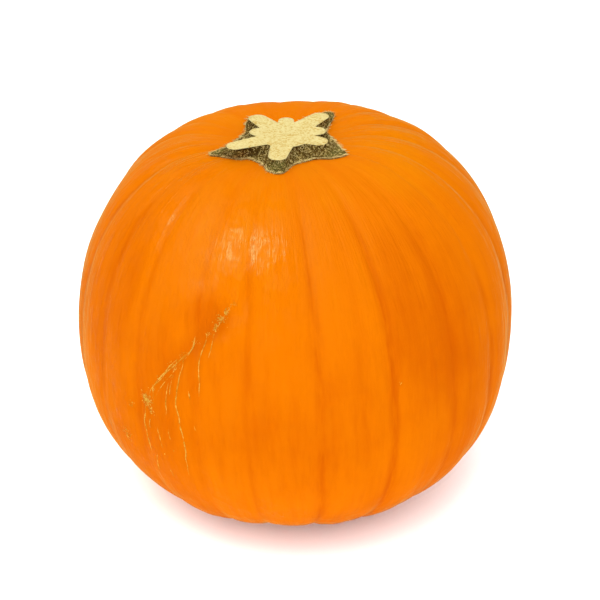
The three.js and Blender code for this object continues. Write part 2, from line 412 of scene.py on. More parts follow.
    def ripples(self, azimuth: Array, polar: Array) -> Array:
        """Fine lengthwise ripples of the skin, strongest on the side shoulders.

        Args:
            azimuth: Azimuths in degrees.
            polar: Polar angles in degrees.

        Returns:
            Their heights in millimetres.
        """
        shoulder = 1.0 + self.wrinkle_height * self.wrinkled(azimuth, polar)
        wave = self.coarse.at(azimuth, polar) + self.finer_share * self.middling.at(azimuth, polar)
        return self.ripple * shoulder * window(polar, self.ripple_rise, self.ripple_fall) * wave

    def skin(self, azimuth: Array, polar: Array, fine: bool = True) -> Array:
        """Points of the skin.

        Args:
            azimuth: Azimuths in degrees.
            polar: Polar angles in degrees.
            fine: Whether the fine ripples are on it.

        Returns:
            An array of points in millimetres, one row each.
        """
        azimuth = np.asarray(azimuth, float)
        polar = np.asarray(polar, float)
        x, y, z = self.direction(azimuth, polar)
        power = np.where(z > 0, self.crown_fullness, self.base_fullness)
        half = np.where(z > 0, self.crown_height, self.base_depth)
        flat = np.hypot(x, y)
        reach = ((flat / self.half_width) ** power + (np.abs(z) / half) ** power) ** (-1.0 / power)
        outward = (reach * flat / self.half_width) ** (power - 1.0) / self.half_width
        upward = np.sign(z) * (reach * np.abs(z) / half) ** (power - 1.0) / half
        steep = np.hypot(outward, upward)
        height = hills(self.swelling_list, azimuth, polar) + self.crease(azimuth, polar)[0]
        height = height - self.valley(azimuth, polar)
        if fine:
            height = height + self.ripples(azimuth, polar)
        safe = np.maximum(flat, 1e-12)
        px = reach * x + height * outward / steep * x / safe
        py = reach * y + height * outward / steep * y / safe
        pz = reach * z + height * upward / steep
        from_axis = reach * np.sin(np.radians(polar))
        depth, radius = self.crown_hollow
        pz = pz - np.where(polar < 90.0, depth * np.exp(-((from_axis / radius) ** self.hollow_power)), 0.0)
        depth, radius = self.blossom_hollow
        pz = pz + np.where(polar < 90.0, 0.0, depth * bell(from_axis, radius))
        pz = np.maximum(pz, self.foot_cut - self.base_depth)
        return np.stack([px, py, pz], axis=-1) + np.array(self.shift)

    def normal(self, azimuth: float, polar: float) -> Vector:
        """Outward normal of the skin at one place.

        Args:
            azimuth: Azimuth in degrees.
            polar: Polar angle in degrees.

        Returns:
            The unit normal.
        """
        step = 0.4
        a = np.array([azimuth, azimuth + step, azimuth])
        p = np.array([polar, polar, polar + step])
        here, east, south = self.skin(a, p, fine=False)
        return Vector(np.cross(south - here, east - here)).normalized()

    def place(self, azimuth: float, polar: float, lift: float = 0.0) -> Vector:
        """One point over the skin in metres.

        Args:
            azimuth: Azimuth in degrees.
            polar: Polar angle in degrees.
            lift: Height over the skin in millimetres.

        Returns:
            The point.
        """
        point = Vector(self.skin(np.array([azimuth]), np.array([polar]))[0])
        return (point + self.normal(azimuth, polar) * lift) * MM

    def pole(self, polar: float = 0.01) -> Array:
        """The skin's point beside its growing axis, at the stem or at the given polar angle."""
        return self.skin(np.array([0.0]), np.array([polar]), fine=False)[0]

    def height_at(self, x: Array, y: Array) -> Array:
        """The skin's height under points given in plan, all in millimetres.

        Args:
            x: The points' x.
            y: The points' y.

        Returns:
            One height for each point.
        """
        pole = self.pole()
        azimuth = np.arctan2(y - pole[1], x - pole[0])
        polar = np.hypot(x - pole[0], y - pole[1]) / self.crown_height
        for _ in range(self.search_rounds):
            point = self.skin(np.degrees(azimuth), np.degrees(polar), fine=False)
            off_x = x - point[..., 0]
            off_y = y - point[..., 1]
            inward = off_x * np.cos(azimuth) + off_y * np.sin(azimuth)
            round_it = off_y * np.cos(azimuth) - off_x * np.sin(azimuth)
            azimuth = azimuth + round_it / np.maximum(self.crown_height * polar, 1.0)
            polar = np.maximum(polar + inward / self.crown_height, 1e-4)
        return self.skin(np.degrees(azimuth), np.degrees(polar), fine=False)[..., 2]


class Sheet:
    """A material's node tree with short calls for the nodes used here."""

    def __init__(self, name: str) -> None:
        """Start a material with one Principled shader.

        Args:
            name: Name of the material.
        """
        self.material = bpy.data.materials.new(name)
        self.material.use_nodes = True
        self.tree = self.material.node_tree
        self.tree.nodes.clear()
        self.output = self.tree.nodes.new("ShaderNodeOutputMaterial")
        self.shader = self.tree.nodes.new("ShaderNodeBsdfPrincipled")
        self.tree.links.new(self.shader.outputs["BSDF"], self.output.inputs["Surface"])

    def feed(self, value: "Tone | float", socket: Socket) -> None:
        """Link a socket to an output, or give it a value of its own.

        Args:
            value: The output or the value.
            socket: The socket that takes it.
        """
        if isinstance(value, Socket):
            self.tree.links.new(value, socket)
        else:
            socket.default_value = value

    def node(self, kind: str, result: str | int, inputs: dict, **settings: str) -> Socket:
        """Add a node and feed its inputs.

        Args:
            kind: The node's type.
            result: The output that is wanted.
            inputs: An output or a value for each input, by name or number.
            settings: The node's own options.

        Returns:
            The wanted output.
        """
        node = self.tree.nodes.new(kind)
        for name, value in settings.items():
            setattr(node, name, value)
        for name, value in inputs.items():
            self.feed(value, node.inputs[name])
        return node.outputs[result]

    def attribute(self, name: str, vector: bool = False) -> Socket:
        """Read a mesh attribute, as a number or as a vector."""
        return self.node("ShaderNodeAttribute", "Vector" if vector else "Fac", {}, attribute_name=name)

    def place(self) -> Socket:
        """Read the Object coordinates."""
        return self.node("ShaderNodeTexCoord", "Object", {})

    def noise(self, at: Socket, scale: float, detail: float = 2.0, rough: float = 0.5) -> Socket:
        """Noise near 0.5 of one scale, with finer layers of the given number and strength."""
        inputs = {"Vector": at, "Scale": scale, "Detail": detail, "Roughness": rough}
        return self.node("ShaderNodeTexNoise", "Fac", inputs)

    def cells(self, at: Socket, scale: float) -> Socket:
        """Distance to the nearest of scattered points."""
        return self.node("ShaderNodeTexVoronoi", "Distance", {"Vector": at, "Scale": scale})

    def span(self, value: Socket, low: float, high: float, to_low: float = 0.0,
             to_high: float = 1.0) -> Socket:
        """Stretch a range of values smoothly onto another, and hold it at the ends."""
        inputs = {"Value": value, "From Min": low, "From Max": high, "To Min": to_low, "To Max": to_high}
        return self.node("ShaderNodeMapRange", "Result", inputs, interpolation_type="SMOOTHSTEP")

    def sum(self, a: Socket, b: Socket, gain: float = 1.0) -> Socket:
        """Add b, times a gain, to a."""
        return self.node("ShaderNodeMath", "Value", {0: b, 1: gain, 2: a}, operation="MULTIPLY_ADD")

    def sums(self, total: Socket, parts: Sequence[Socket], gains: Sequence[float]) -> Socket:
        """Add each part, times its gain, to a first number.

        Args:
            total: The first number.
            parts: What is added.
            gains: One gain for each part.

        Returns:
            The sum.
        """
        for part, gain in zip(parts, gains):
            total = self.sum(total, part, gain)
        return total

    def times(self, a: Socket, b: Socket) -> Socket:
        """Multiply two numbers."""
        return self.node("ShaderNodeMath", "Value", {0: a, 1: b}, operation="MULTIPLY")

    def facing(self, start: float = 0.55, end: float = 0.85) -> Socket:
        """1 where the surface faces the eye, falling to 0 towards its outline, for gloss only."""
        weight = self.node("ShaderNodeLayerWeight", "Facing", {"Blend": 0.5})
        return self.span(weight, start, end, 1.0, 0.0)

    def mix(self, share: Socket, first: Colour | Socket, second: Colour | Socket) -> Socket:
        """Blend two colours; the share says how much of the second one shows."""
        a, b = (part if isinstance(part, Socket) else tone(*part) for part in (first, second))
        return self.node("ShaderNodeMix", 2, {"Factor": share, 6: a, 7: b}, data_type="RGBA")

    def bump(self, height: Socket, distance: float) -> None:
        """Drive the shader's normal by a height, where a height of 1 is so many metres."""
        normal = self.node("ShaderNodeBump", "Normal", {"Distance": distance, "Height": height})
        self.feed(normal, self.shader.inputs["Normal"])

    def finish(self, **inputs: "Tone | float") -> Material:
        """Feed the shader's inputs.

        Args:
            inputs: An output or a value for each input, named with low dashes for the spaces.

        Returns:
            The material.
        """
        for name, value in inputs.items():
            self.feed(value, self.shader.inputs[name.replace("_", " ")])
        return self.material


Tone = Tint | Socket


def tone(red: int, green: int, blue: int) -> Tint:
    """Turn a colour as it looks in the studio's light into the surface's own linear colour.

    Args:
        red: The red channel, 0 to 255.
        green: The green channel.
        blue: The blue channel.

    Returns:
        The linear colour, with alpha.
    """
    def linear(value: int) -> float:
        """Undo the screen's curve for one channel and take out the light."""
        share = value / 255.0
        bright = share / 12.92 if share <= 0.04045 else ((share + 0.055) / 1.055) ** 2.4
        return bright / STUDIO_LIGHT
    return linear(red), linear(green), linear(blue), 1.0


@dataclass(frozen=True)
class SkinFinish:
    """Waxy orange skin: streaked lengthwise, satin, with painted shade in the grooves and the crease, and
    painted light and shade in its tone.

    Each noise is its scale, its number of finer layers and their strength. Each span is the low and
    the high end that are read, and then, if given, the two values that they become.
    """

    orange: Colour = (248, 127, 1)
    pale: Colour = (252, 142, 2)
    deep: Colour = (229, 106, 0)
    # Painted shade: the colour painted along the grooves' bottoms and in the crease.
    groove: Colour = (216, 88, 0)
    gloss: float = 0.0026
    dull: float = 0.66
    polished: float = 0.2
    sheen: float = 0.2
    sheen_roughness: float = 0.2
    sheen_tint: Tint = (0.2, 1.0, 0.4, 1.0)
    broad: Triple = (16.0, 3.0, 0.55)
    streak: Triple = (30.0, 3.0, 0.6)
    fine: Triple = (110.0, 2.0, 0.6)
    wax: Triple = (95.0, 2.0, 0.6)
    dimple: Triple = (75.0, 2.0, 0.5)
    pore_scale: float = 420.0
    broad_span: Span = (0.3, 0.7, -0.18, 0.18)
    streak_span: Span = (0.35, 0.75, -0.09, 0.12)
    fine_span: Span = (0.58, 0.85, 0.0, 0.08)
    line_span: Span = (0.3, 0.62, 0.1, 0.42)
    crease_shade_span: Span = (0.25, 1.0, 0.0, 0.35)
    wax_span: Pair = (0.72, 0.98)
    wax_shares: Pair = (0.5, 0.25)
    pore_span: Pair = (0.0, 0.28)
    relief_shares: Triple = (0.2, 0.05, 1.3)
    bump: float = 0.0008

    def make(self) -> Material:
        """Build the material.

        Returns:
            The skin's material.
        """
        sheet = Sheet("pumpkin_skin")
        place = sheet.place()
        grain = sheet.attribute("grain", vector=True)
        # This attribute holds the skin's own uneven tone together with painted light and shade.
        tone_and_painted_shading = sheet.attribute("tone_and_painted_shading")
        broad = sheet.noise(place, *self.broad)
        streak = sheet.noise(grain, *self.streak)
        fine = sheet.noise(grain, *self.fine)
        blotch = sheet.sum(tone_and_painted_shading, sheet.span(broad, *self.broad_span))
        blotch = sheet.sum(blotch, sheet.span(streak, *self.streak_span))
        colour = sheet.mix(sheet.span(blotch, 0.0, 1.0), self.orange, self.deep)
        colour = sheet.mix(sheet.span(blotch, 0.0, -1.0), colour, self.pale)
        colour = sheet.mix(sheet.span(fine, *self.fine_span), colour, self.deep)
        # Painted shade: a thin dark line along the bottom of each groove, broken by the streaks.
        broken = sheet.span(streak, *self.line_span)
        colour = sheet.mix(sheet.times(sheet.attribute("line"), broken), colour, self.groove)
        # Painted shade in the crease, strongest at its bottom.
        crease_shade = sheet.span(sheet.attribute("crease_shade"), *self.crease_shade_span)
        colour = sheet.mix(crease_shade, colour, self.groove)
        wax = sheet.sums(sheet.noise(place, *self.wax), (streak, fine), self.wax_shares)
        polish = sheet.times(sheet.span(wax, *self.wax_span), sheet.attribute("waxy"))
        rough = sheet.span(sheet.times(polish, sheet.facing()), 0.0, 1.0, self.dull, self.polished)
        pores = sheet.span(sheet.cells(place, self.pore_scale), *self.pore_span)
        dimples = sheet.noise(place, *self.dimple)
        height = sheet.sums(streak, (fine, pores, dimples), self.relief_shares)
        sheet.bump(sheet.times(height, sheet.attribute("relief")), self.bump)
        return sheet.finish(Base_Color=colour, Roughness=rough, Specular_IOR_Level=self.gloss,
                            Sheen_Weight=self.sheen, Sheen_Roughness=self.sheen_roughness,
                            Sheen_Tint=self.sheen_tint)


@dataclass(frozen=True)
class ScarFinish:
    """Dry corky scar tissue, from pale tan to light brown."""

    pale: Colour = (250, 194, 80)
    tan: Colour = (222, 142, 30)
    brown: Colour = (140, 74, 8)
    patch: Triple = (260.0, 3.0, 0.6)
    crumb: Triple = (1400.0, 3.0, 0.7)
    patch_span: Pair = (0.35, 0.62)
    crumb_span: Span = (0.54, 0.72, 0.0, 0.85)
    bump: float = 0.0005
    roughness: float = 0.85

    def make(self) -> Material:
        """Build the material.

        Returns:
            The scar's material.
        """
        sheet = Sheet("scar_cork")
        place = sheet.place()
        patch = sheet.noise(place, *self.patch)
        crumb = sheet.noise(place, *self.crumb)
        colour = sheet.mix(sheet.span(patch, *self.patch_span), self.tan, self.pale)
        colour = sheet.mix(sheet.span(crumb, *self.crumb_span), colour, self.brown)
        sheet.bump(crumb, self.bump)
        return sheet.finish(Base_Color=colour, Roughness=self.roughness, Specular_IOR_Level=0.0)


@dataclass(frozen=True)
class HairFinish:
    """Dry straw-coloured fibres, some of them browner."""

    name: str
    straw: Colour = (255, 228, 150)
    brown: Colour = (112, 80, 34)
    straw_until: float = 0.47
    brown_from: float = 0.6
    strands: Triple = (330.0, 2.0, 0.6)
    roughness: float = 0.8

    def make(self) -> Material:
        """Build the material.

        Returns:
            The fibres' material.
        """
        sheet = Sheet(self.name)
        strands = sheet.noise(sheet.place(), *self.strands)
        share = sheet.span(strands, self.straw_until, self.brown_from)
        colour = sheet.mix(share, self.straw, self.brown)
        return sheet.finish(Base_Color=colour, Roughness=self.roughness, Specular_IOR_Level=0.0)


@dataclass(frozen=True)
class StemFinish:
    """Woody stem: fibrous olive-brown sides, greener flange tips and a pale grainy cut face."""

    husk_dark: Colour = (48, 32, 12)
    husk: Colour = (128, 100, 42)
    husk_light: Colour = (236, 206, 122)
    green: Colour = (122, 122, 62)
    pith: Colour = (252, 235, 164)
    pith_deep: Colour = (226, 188, 98)
    fringe: Colour = (232, 196, 124)
    fibre: Triple = (60.0, 4.0, 0.65)
    speck: Triple = (900.0, 3.0, 0.7)
    grain: Triple = (760.0, 3.0, 0.75)
    clump: Triple = (170.0, 2.0, 0.5)
    fibre_span: Pair = (0.36, 0.62)
    green_span: Span = (0.25, 0.65, 0.1, 0.7)
    speck_span: Span = (0.53, 0.62, 0.0, 0.9)
    grain_span: Span = (0.54, 0.66, 0.0, 0.9)
    pith_span: Pair = (0.54, 0.8)
    pith_clumps: float = 0.25
    relief_shares: Pair = (0.8, 0.5)
    bump: float = 0.0006
    roughness: float = 0.9

    def make(self) -> Material:
        """Build the material.

        Returns:
            The stem's material.
        """
        sheet = Sheet("stem_wood")
        place = sheet.place()
        fibre = sheet.noise(sheet.attribute("fibre", vector=True), *self.fibre)
        speck = sheet.noise(place, *self.speck)
        grain = sheet.noise(place, *self.grain)
        clump = sheet.noise(place, *self.clump)
        side = sheet.mix(sheet.span(fibre, *self.fibre_span), self.husk_dark, self.husk)
        green = sheet.times(sheet.attribute("tip"), sheet.span(clump, *self.green_span))
        side = sheet.mix(green, side, self.green)
        # Painted shade on the sides just under the cut face's edge.
        side = sheet.mix(sheet.attribute("painted_shade_under_edge"), side, self.husk_dark)
        side = sheet.mix(sheet.span(speck, *self.speck_span), side, self.husk_light)
        side = sheet.mix(sheet.span(grain, *self.grain_span), side, self.husk_dark)
        side = sheet.mix(sheet.attribute("rim"), side, self.fringe)
        pores = sheet.span(sheet.sum(grain, clump, self.pith_clumps), *self.pith_span)
        cut = sheet.mix(pores, self.pith, self.pith_deep)
        colour = sheet.mix(sheet.attribute("cut"), side, cut)
        speck_share, grain_share = self.relief_shares
        coarse = sheet.times(sheet.sum(fibre, speck, speck_share), sheet.attribute("side"))
        sheet.bump(sheet.sum(coarse, grain, grain_share), self.bump)
        return sheet.finish(Base_Color=colour, Roughness=self.roughness, Specular_IOR_Level=0.0)


def add_object(name: str, data: bpy.types.ID) -> Object:
    """Put an object into the scene.

    Args:
        name: Its name.
        data: Its mesh, light or camera.

    Returns:
        The object.
    """
    thing = bpy.data.objects.new(name, data)
    bpy.context.scene.collection.objects.link(thing)
    return thing


def new_piece(name: str, mesh_builder: Callable[[Mesh], None], material: Material) -> Object:
    """Make a piece from a bmesh and let it ride on the one body.

    Args:
        name: Name of the piece.
        mesh_builder: Fills the bmesh.
        material: The piece's finish.

    Returns:
        The new object.
    """
    bm = bmesh.new()
    mesh_builder(bm)
    for face in bm.faces:
        face.smooth = True
    mesh = bpy.data.meshes.new(name)
    bm.to_mesh(mesh)
    bm.free()
    mesh.materials.append(material)
    piece = add_object(name, mesh)
    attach(piece, "root")
    return piece


def write_attributes(piece: Object, layers: dict[str, Array]) -> None:
    """Store numbers or vectors for the vertices, under the names that the finish reads.

    Args:
        piece: The object.
        layers: One row for each vertex, by name.
    """
    for name, values in layers.items():
        kind, key = ("FLOAT_VECTOR", "vector") if values.ndim == 2 else ("FLOAT", "value")
        layer = piece.data.attributes.new(name, kind, "POINT")
        layer.data.foreach_set(key, values.astype(np.float32).ravel())


def sphere_angles(bm: Mesh) -> tuple[Array, Array]:
    """Azimuth and polar angle of each vertex of a unit sphere.

    Args:
        bm: The sphere.

    Returns:
        The azimuths and the polar angles, in degrees.
    """
    points = np.array([vertex.co[:] for vertex in bm.verts])
    azimuth = np.degrees(np.arctan2(points[:, 1], points[:, 0]))
    polar = np.degrees(np.arccos(np.clip(points[:, 2], -1.0, 1.0)))
    return azimuth, polar


def move_vertices(bm: Mesh, points: Array) -> None:
    """Put each vertex at its new place.

    Args:
        bm: The mesh.
        points: New places in metres, in the order of the vertices.
    """
    for vertex, point in zip(bm.verts, points):
        vertex.co = point


@dataclass
class Fruit:
    """The fruit's skin as one closed body."""

    form: FruitForm
    columns: int = 400
    rows: int = 220
    grain_stretch: float = 0.16
    probe_step: float = 0.9
    probe_polar: Pair = (20.0, 150.0)

    def centre(self) -> None:
        """Shift the formula so that the fruit stands at height 0 with its box over the origin."""
        rows = np.arange(*self.probe_polar, self.probe_step)
        azimuth, polar = np.meshgrid(np.arange(0.0, 360.0, self.probe_step), rows)
        points = self.form.skin(azimuth.ravel(), polar.ravel())
        middle = (points.min(axis=0) + points.max(axis=0)) / 2.0
        self.form.shift = (-middle[0], -middle[1], self.form.base_depth - self.form.foot_cut)

    def shape(self, bm: Mesh) -> None:
        """Build the skin from a sphere moved by the formula.

        Args:
            bm: The mesh that is filled.
        """
        bmesh.ops.create_uvsphere(bm, u_segments=self.columns, v_segments=self.rows, radius=1.0)
        self.azimuth, self.polar = sphere_angles(bm)
        move_vertices(bm, self.form.skin(self.azimuth, self.polar) * MM)

    def build(self, material: Material) -> Object:
        """Make the piece with the attributes that its finish reads.

        Args:
            material: The skin's finish.

        Returns:
            The fruit.
        """
        self.centre()
        piece = new_piece("fruit_skin", self.shape, material)
        a, p = np.radians(self.azimuth), np.radians(self.polar)
        layers = {
            "grain": np.stack([np.cos(a), np.sin(a), self.grain_stretch * p], axis=-1),
            "waxy": self.form.waxy(self.azimuth, self.polar),
            # The groove lines, part of the tone and the crease carry painted light and shade.
            "line": self.form.groove_shade_line(self.azimuth, self.polar),
            "tone_and_painted_shading": self.form.tone_and_painted_shading(self.azimuth, self.polar),
            "relief": self.form.relief(self.azimuth, self.polar),
            "crease_shade": self.form.crease(self.azimuth, self.polar)[1],
        }
        write_attributes(piece, layers)
        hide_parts("pumpkin_fruit")
        return piece


@dataclass(frozen=True)
class Lobe:
    """A round-ended arm of the stem's cut face."""

    azimuth: float
    reach: float
    half: float


@dataclass
class Stem:
    """The stem stub: a flared star-shaped foot and a flat cut face with eight arms."""

    form: FruitForm
    cut_height: float = 8.0
    rim: float = 0.9
    sunk: float = 0.5
    flare: float = 1.9
    flange_centre: Pair = (0.5, -4.3)
    cut_centre: Pair = (2.4, -6.2)
    core: float = 16.0
    splay: float = 0.08
    roughness: float = 0.6
    soft_edge: float = 0.5
    edge_from: float = 0.93
    foot_lift: float = 0.6
    bulge_power: float = 0.7
    fray: float = 0.4
    fray_row: float = 40.0
    grain_height: float = 0.12
    grain_cells: Pair = (5.0, 2.5)
    # Painted shade under the cut face's edge: its strength, and the part of the side that it fades over.
    shade: float = 0.65
    shade_span: Pair = (0.05, 0.4)
    tip_span: Pair = (29.0, 37.0)
    fibre_stretch: float = 0.08
    fibre_noise: LatticeNoise = field(default_factory=lambda: LatticeNoise(150, 40, 31))
    fray_noise: LatticeNoise = field(default_factory=lambda: LatticeNoise(110, 3, 32))
    grain_noise: LatticeNoise = field(default_factory=lambda: LatticeNoise(360, 180, 33))
    lump_noise: LatticeNoise = field(default_factory=lambda: LatticeNoise(90, 9, 34))
    columns: int = 480
    top_rows: int = 24
    side_rows: int = 30
    under_rows: int = 8
    lobes: tuple[Lobe, ...] = (
        Lobe(-153.5, 37, 5.0), Lobe(-98.5, 34, 5.4), Lobe(-23, 26, 5.7), Lobe(20, 24.5, 5.7),
        Lobe(53.5, 39, 5.4), Lobe(89, 25.5, 4.6), Lobe(124, 34.5, 5.4), Lobe(162, 21.5, 5.6),
    )
    flange: tuple[Pair, ...] = (
        (-178, 33), (-170, 37.5), (-163, 43.5), (-156, 37.5), (-145, 33), (-137, 27), (-125, 27),
        (-112, 29.5), (-101, 39), (-94, 41.5), (-88, 40.5), (-81, 32.5), (-71, 28.8), (-57, 28),
        (-47, 30.5), (-38, 38), (-27, 42), (-18, 36), (0, 31), (14, 29), (32, 30), (43, 39),
        (53, 50), (62, 44), (74, 31), (90, 29), (104, 33), (115, 43), (124, 38), (136, 30),
        (155, 27), (170, 29),
    )

    def flange_radius(self, azimuth: Array) -> Array:
        """Radius of the foot's edge, as a smooth closed curve through its points.

        Args:
            azimuth: Azimuths in degrees.

        Returns:
            The radii in millimetres.
        """
        knots = np.array(self.flange)
        wrapped = np.concatenate([knots - [360, 0], knots, knots + [360, 0]])
        after = np.searchsorted(wrapped[:, 0], azimuth, side="right")
        start, end = wrapped[after - 1], wrapped[after]
        before, following = wrapped[after - 2], wrapped[after + 1]
        span = end[:, 0] - start[:, 0]
        t = (azimuth - start[:, 0]) / span
        slope_start = span * (end[:, 1] - before[:, 1]) / (end[:, 0] - before[:, 0])
        slope_end = span * (following[:, 1] - start[:, 1]) / (following[:, 0] - start[:, 0])
        hold = (1 + 2 * t) * (1 - t) ** 2 * start[:, 1] + t * t * (3 - 2 * t) * end[:, 1]
        return hold + t * (1 - t) ** 2 * slope_start + t * t * (t - 1) * slope_end

    def cut_radius(self, azimuth: Array) -> Array:
        """Radius of the cut face: the furthest reach of its round-ended arms.

        Args:
            azimuth: Azimuths in degrees.

        Returns:
            The radii in millimetres.
        """
        reach = np.full_like(azimuth, self.core)
        for lobe in self.lobes:
            away = np.radians(turn(azimuth - lobe.azimuth))
            along, side = np.cos(away), np.abs(np.sin(away))
            centre = lobe.reach - lobe.half
            at_edge = (lobe.half + self.splay * centre) / np.maximum(side + self.splay * along, 1e-9)
            at_tip = centre * along + np.sqrt(np.maximum(lobe.half ** 2 - (centre * side) ** 2, 0.0))
            arm = np.where(at_edge * along < centre, at_edge, at_tip)
            reach = np.where(along > 0, np.maximum(reach, arm), reach)
        return reach

    @staticmethod
    def way(azimuth: Array) -> Array:
        """Unit directions in plan."""
        return np.stack([np.cos(np.radians(azimuth)), np.sin(np.radians(azimuth))], axis=-1)

    def centres(self) -> tuple[Array, Array, Array]:
        """The crown's pole, and the middles of the foot and of the cut face in plan."""
        pole = self.form.pole()
        return pole, pole[:2] + np.array(self.flange_centre), pole[:2] + np.array(self.cut_centre)

    def edge(self, azimuth: Array) -> Array:
        """Plan of the foot's slightly frayed edge."""
        frayed = self.fray * self.fray_noise.at(azimuth, np.full_like(azimuth, self.fray_row))
        return self.centres()[1] + self.way(azimuth) * (self.flange_radius(azimuth) + frayed)[:, None]

    def wall(self, azimuth: Array, fall: Array) -> tuple[Array, Array]:
        """Points of the flared side.

        Args:
            azimuth: Azimuths in degrees.
            fall: 0 at the cut face to 1 at the foot's edge.

        Returns:
            The points in plan, and their heights, in millimetres.
        """
        pole, _, cut_centre = self.centres()
        way = self.way(azimuth)
        cut = cut_centre + way * self.cut_radius(azimuth)[:, None]
        flare = (fall ** self.flare)[:, None]
        ragged = self.fibre_noise.at(azimuth, fall * 180.0) + self.lump_noise.at(azimuth, fall * 180.0)
        bulge = self.roughness * ragged * np.sin(np.pi * fall) ** self.bulge_power
        plan = cut * (1.0 - flare) + self.edge(azimuth) * flare + way * bulge[:, None]
        low = self.form.height_at(plan[:, 0], plan[:, 1]) - self.sunk + self.rim + self.foot_lift
        top = pole[2] + self.cut_height - self.soft_edge
        return plan, low + (top - low) * (1.0 - fall)

    def shape(self, bm: Mesh) -> None:
        """Build the stub from a sphere whose rows become the cut face, the sides and the underside.

        Args:
            bm: The mesh that is filled.
        """
        rows = self.top_rows + self.side_rows + self.under_rows
        bmesh.ops.create_uvsphere(bm, u_segments=self.columns, v_segments=rows, radius=1.0)
        azimuth, polar = sphere_angles(bm)
        row = polar / 180.0 * rows
        top = row <= self.top_rows + 0.5
        under = row >= self.top_rows + self.side_rows - 0.5
        side_share = np.clip((row - self.top_rows) / self.side_rows, 0.0, 1.0)
        top_share = np.clip(row / self.top_rows, 0.0, 1.0)
        under_share = np.clip((rows - row) / self.under_rows, 0.0, 1.0)
        way = self.way(azimuth)
        pole, centre, cut_centre = self.centres()
        plan, z = self.wall(azimuth, side_share)
        flat_top = cut_centre + way * (self.cut_radius(azimuth) * top_share)[:, None]
        flat_under = centre + (self.edge(azimuth) - centre) * under_share[:, None]
        plan = np.where(top[:, None], flat_top, np.where(under[:, None], flat_under, plan))
        across, along = self.grain_cells
        grainy = self.grain_noise.at(plan[:, 0] * across + 180.0, plan[:, 1] * along + 90.0)
        grainy = self.grain_height * grainy * ramp(1.0 - top_share, 0.0, 0.1)
        z_top = pole[2] + self.cut_height + grainy - self.soft_edge * ramp(top_share, self.edge_from, 1.0)
        z_under = self.form.height_at(plan[:, 0], plan[:, 1]) - self.sunk
        z = np.where(top, z_top, np.where(under, z_under, z))
        ragged = self.fibre_noise.at(azimuth, side_share * 180.0)
        points = np.concatenate([plan, z[:, None]], axis=-1)
        move_vertices(bm, points * MM)
        self.layers = {
            "cut": (row < self.top_rows + 0.6).astype(float),
            "side": (row > self.top_rows - 0.4).astype(float),
            "painted_shade_under_edge": self.shade * (1.0 - ramp(side_share, *self.shade_span)),
            "tip": np.where(top, 0.0, ramp(np.hypot(*(plan - centre).T), *self.tip_span)),
            "rim": np.where(top, 0.0, ramp(side_share, self.edge_from, 1.0)) * (0.5 + 0.5 * ragged),
            "fibre": np.concatenate([way, self.fibre_stretch * side_share[:, None]], axis=-1),
        }

    def build(self, material: Material) -> Object:
        """Make the piece with the attributes that its finish reads.

        Args:
            material: The stem's finish.

        Returns:
            The stem stub.
        """
        piece = new_piece("stem_star", self.shape, material)
        write_attributes(piece, self.layers)
        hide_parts("stem_stub")
        return piece


@dataclass
class StemHairs:
    """Short fibres that lie on a stretch of the stub's sides."""

    stem: Stem
    name: str
    count: int
    falls: Pair
    lengths: Pair
    seed: int
    thickness: Pair
    probe: float = 0.06
    scatter_deg: float = 40.0
    rise: float = 0.25
    overlap: float = 0.35
    tip_share: float = 0.25

    def shape(self, bm: Mesh) -> None:
        """Scatter thin cones that lie outwards along the side, with a fixed seed.

        Args:
            bm: The mesh that is filled.
        """
        rng = np.random.default_rng(self.seed)
        azimuth = rng.uniform(-180.0, 180.0, self.count)
        fall = rng.uniform(*self.falls, self.count)
        length = rng.uniform(*self.lengths, self.count)
        thick = rng.uniform(*self.thickness, self.count)
        turned = rng.normal(0.0, self.scatter_deg, self.count)
        roots = self.points(azimuth, fall)
        below = self.points(azimuth, np.minimum(fall + self.probe, 1.0))
        above = self.points(azimuth, np.maximum(fall - self.probe, 0.0))
        ways = below - above
        for root, way, long, wide, angle in zip(roots, ways, length, thick, turned):
            lie = Vector(way).normalized()
            lie.rotate(Matrix.Rotation(math.radians(angle), 3, "Z"))
            lie = (lie + Vector((0.0, 0.0, self.rise))).normalized()
            whole = Matrix.Scale(MM, 4) @ Matrix.Translation(Vector(root) + lie * (self.overlap * long))
            whole = whole @ lie.to_track_quat("Z", "Y").to_matrix().to_4x4()
            bmesh.ops.create_cone(bm, cap_ends=True, segments=4, radius1=wide,
                                  radius2=self.tip_share * wide, depth=long, matrix=whole)

    def points(self, azimuth: Array, fall: Array) -> Array:
        """Points of the stub's side in millimetres, one row each."""
        plan, z = self.stem.wall(azimuth, fall)
        return np.concatenate([plan, z[:, None]], axis=-1)

    def build(self, material: Material) -> Object:
        """Make the piece."""
        return new_piece(self.name, self.shape, material)


@dataclass(frozen=True)
class Thread:
    """One raised scar line: its way over the skin as azimuth and polar angle, and its width."""

    way: Sequence[Pair]
    width: float


